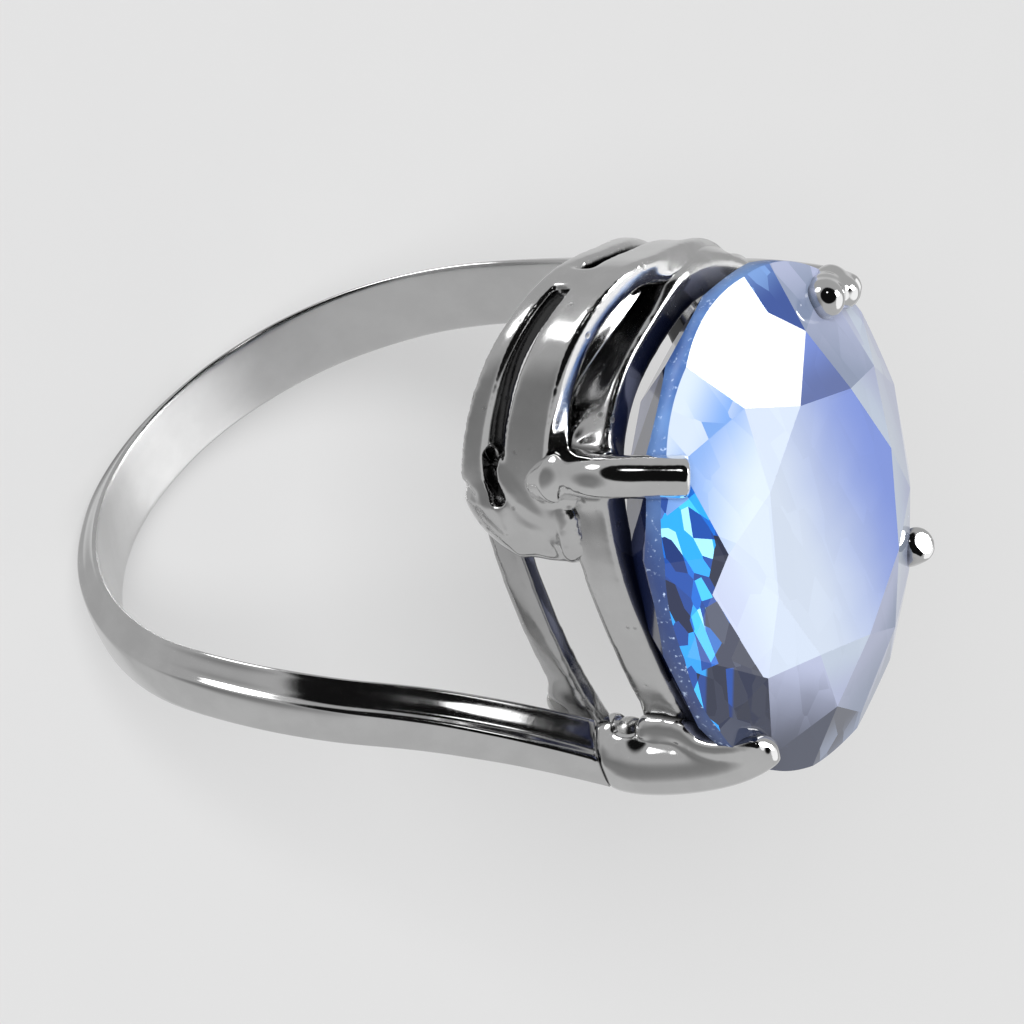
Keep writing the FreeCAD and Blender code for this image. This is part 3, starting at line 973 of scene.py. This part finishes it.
def world():
    """An even tent for the camera and for matt faces, and the lamps for polished ones."""
    room = bpy.data.worlds.new("studio")
    room.use_nodes = True
    room.cycles.sampling_method = "NONE"
    bpy.context.scene.world = room
    n = Nodes(room.node_tree)
    way = n.add("ShaderNodeTexCoord").outputs["Generated"]
    way = n.add("ShaderNodeVectorMath", {0: way}, operation="NORMALIZE").outputs[0]
    light = room_shine(n, way)
    path = n.add("ShaderNodeLightPath")
    plain = n.math("MAXIMUM", path.outputs["Is Diffuse Ray"], path.outputs["Is Camera Ray"])
    even = n.math("ADD", n.math("MULTIPLY", path.outputs["Is Diffuse Ray"], TENT_LIGHT),
                  n.math("MULTIPLY", path.outputs["Is Camera Ray"], TENT_WALL))
    light = n.math("ADD", n.math("MULTIPLY", light, n.math("SUBTRACT", 1.0, plain)), even)
    tint = n.add("ShaderNodeCombineColor", {0: light, 1: light, 2: light}).outputs[0]
    shine = n.add("ShaderNodeBackground", {"Color": tint, "Strength": 1.0})
    n.add("ShaderNodeOutputWorld", {"Surface": shine.outputs[0]})


def key_light():
    """One soft lamp behind the camera, which throws the shadow."""
    data = bpy.data.lights.new("key", "AREA")
    data.shape = "DISK"
    data.size = KEY_SIZE
    data.energy = KEY_POWER
    made = bpy.data.objects.new("key", data)
    bpy.context.scene.collection.objects.link(made)
    way = studio(0.0, 0.06, 1.0)
    made.location = way * KEY_DISTANCE
    made.rotation_mode = "QUATERNION"
    made.rotation_quaternion = way.to_track_quat("Z", "Y")
    made.visible_glossy = False


def floor():
    """White paper under the band. About half of its brightness is its own glow."""
    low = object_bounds()[0].z
    corners = [(-FLOOR_HALF, -FLOOR_HALF, low), (FLOOR_HALF, -FLOOR_HALF, low),
               (FLOOR_HALF, FLOOR_HALF, low), (-FLOOR_HALF, FLOOR_HALF, low)]
    mesh = bpy.data.meshes.new("floor")
    mesh.from_pydata(corners, [], [(0, 1, 2, 3)])
    made = bpy.data.objects.new("floor", mesh)
    bpy.context.scene.collection.objects.link(made)
    material, n = new_material("floor_paper")
    place = n.add("ShaderNodeTexCoord").outputs["Object"]
    grain = n.add("ShaderNodeTexNoise", {"Vector": place, "Scale": 300.0}).outputs[0]
    colour = n.mix(grain, (0.388, 0.388, 0.388), (0.392, 0.392, 0.392))
    shader = n.add("ShaderNodeBsdfPrincipled", {"Base Color": colour, "Roughness": 0.9,
                                                "Specular IOR Level": 0.0, "Emission Color": colour,
                                                "Emission Strength": FLOOR_GLOW})
    n.add("ShaderNodeOutputMaterial", {"Surface": shader.outputs[0]})
    mesh.materials.append(material)
    made.visible_glossy = False
    made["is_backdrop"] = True


# ---- the ring ----
def place_piece(piece, node, slot, material=None):
    """Hangs a piece on the root body, gives it its material if one is given, and hides its CAD node."""
    if material:
        piece.data.materials.append(material)
    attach(piece, "root")
    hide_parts(node)


def shape_parts(node):
    """What a piece is cast from: its CAD solid or a wire, and what is melted onto it."""
    if node == "claw_front_right":
        return [wire(FRONT_RIGHT_PATH, FRONT_RIGHT_R)]
    if node == "claw_rear_left":
        return [wire(REAR_LEFT_PATH, REAR_LEFT_R)]
    parts = [node_part(node)]
    if node == "claw_front_left":
        parts += [ball(*lobe) for lobe in TIP_LOBES]
    if node == "claw_rear_right":
        parts += [ball(*blob) for blob in (*SEAM_BLOBS, REAR_RIGHT_TIP)]
        parts.append(wire(STRAND, STRAND_R))
    if node == "front_gallery_wall":
        parts.append(ball(FOOT, FOOT_R))
        parts += [wire(path, LIP_R) for path in LIP_PATHS]
    if node == "rear_gallery_wall":
        parts.append(ball(half_turn([FOOT])[0], FOOT_R))
        parts += [wire(half_turn(path), LIP_R) for path in LIP_PATHS]
    return parts


def cast_piece(node, metal_nodes, slot, material):
    """Casts one metal piece, with fillets towards the others."""
    others = [other for other in metal_nodes if other not in (node, APART.get(node))]
    kind = "bead" if node.startswith("solder") else "wall" if node.endswith("wall") else "plain"
    piece = cast(node + "_cast", shape_parts(node), others, **CASTINGS[kind])
    if slot in ("gallery_metal", "rail_metal"):
        mark_inside_shade(piece)
    place_piece(piece, node, slot, material)


def metals():
    """The slot and material of each metal piece, by the first word of its node's name."""
    claw = metal("claw_polish", (0.80, 0.80, 0.80), 0.05, 0.05)
    band = metal("band_polish", (0.78, 0.78, 0.78), 0.07, 0.07)
    gallery = metal("gallery_polish", (0.77, 0.77, 0.77), 0.09, 0.10, pits=0.5)
    rail = metal("rail_polish", (0.77, 0.77, 0.77), 0.12, 0.12, pits=0.3, brushed=0.1)
    # the side rails are a darker copy of the same white metal: painted shade
    side = metal("side_rail_painted_shade", (0.60, 0.60, 0.60), 0.12, 0.12, brushed=0.1)
    solder = metal("solder", (0.72, 0.72, 0.71), 0.10, 0.15)
    return {
        "claw": ("claw_metal", claw), "shank": ("band_metal", band),
        "front": ("gallery_metal", gallery), "rear": ("gallery_metal", gallery),
        "seat": ("rail_metal", rail), "side": ("rail_metal", side), "solder": ("solder", solder),
    }


def build():
    looks = metals()
    cut, kinds = stone()
    dress_stone(cut, kinds)
    place_piece(cut, "centre_stone", "stone")
    place_piece(shank(), "shank", *looks["shank"])
    metal_nodes = [node for node in NODES if node != "centre_stone"]
    for node in sorted(metal_nodes):
        if node != "shank":
            cast_piece(node, metal_nodes, *looks[node.split("_")[0]])


build()
floor()
world()
key_light()
camera()
bpy.context.scene.view_settings.view_transform = "Standard"
